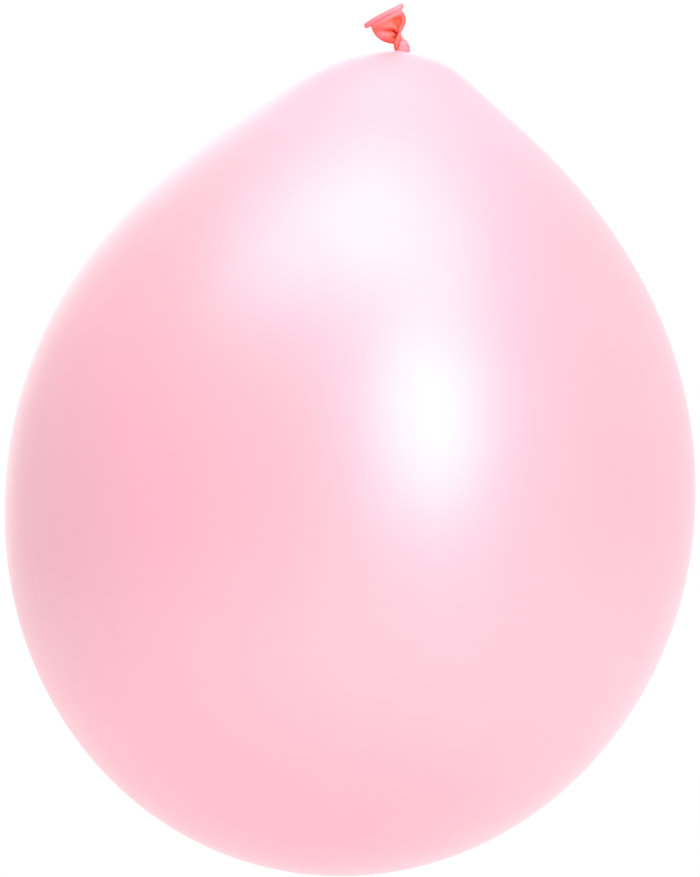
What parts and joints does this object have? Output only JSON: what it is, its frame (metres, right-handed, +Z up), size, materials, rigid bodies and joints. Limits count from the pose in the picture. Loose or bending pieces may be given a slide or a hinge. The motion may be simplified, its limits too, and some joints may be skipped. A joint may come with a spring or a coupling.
{
  "type": "latex balloon",
  "caption": "Round pale pink pearl latex balloon, blown up and tied in a knot, neck up, with a bent neck and a loose rolled mouth.",
  "frame": {"origin": "middle of the neck just under the knot, where a ribbon is tied and the balloon hangs", "axes": "+Z up out of the neck; the skin hangs below the origin and leans towards -X; the loose mouth leans towards -X; the part is symmetric about the XZ plane apart from the knot's folds"},
  "size_m": [0.3, 0.3, 0.3788],
  "materials": {
    "pearl_latex": "stretched natural latex with pearl pigment, soft satin gloss",
    "coral_latex": "unstretched natural latex, deeper in colour, dull satin"
  },
  "bodies": {
    "balloon": {"envelope": "pearl_latex"},
    "neck": {"neck_stem": "coral_latex"},
    "knot": {"knot_wrap": "coral_latex", "knot_core": "coral_latex"},
    "mouth": {"mouth_skirt": "coral_latex", "rolled_rim": "coral_latex"}
  },
  "joints": [
    {"name": "neck_nod", "type": "hinge", "parent": "balloon", "child": "neck", "pos_m": [0, 0, -0.0009], "axis": [1, 0, 0], "range_deg": [-25, 25], "stiffness_Nm_per_rad": 0.0005},
    {"name": "knot_sway", "type": "hinge", "parent": "neck", "child": "knot", "pos_m": [0, 0, 0.0003], "axis": [0, 1, 0], "range_deg": [-18, 30], "stiffness_Nm_per_rad": 0.0005},
    {"name": "mouth_flop", "type": "hinge", "parent": "knot", "child": "mouth", "pos_m": [-0.00196, 0, 0.00596], "axis": [0.887, 0, 0.4617], "range_deg": [-45, 45], "stiffness_Nm_per_rad": 0.0002}
  ]
}
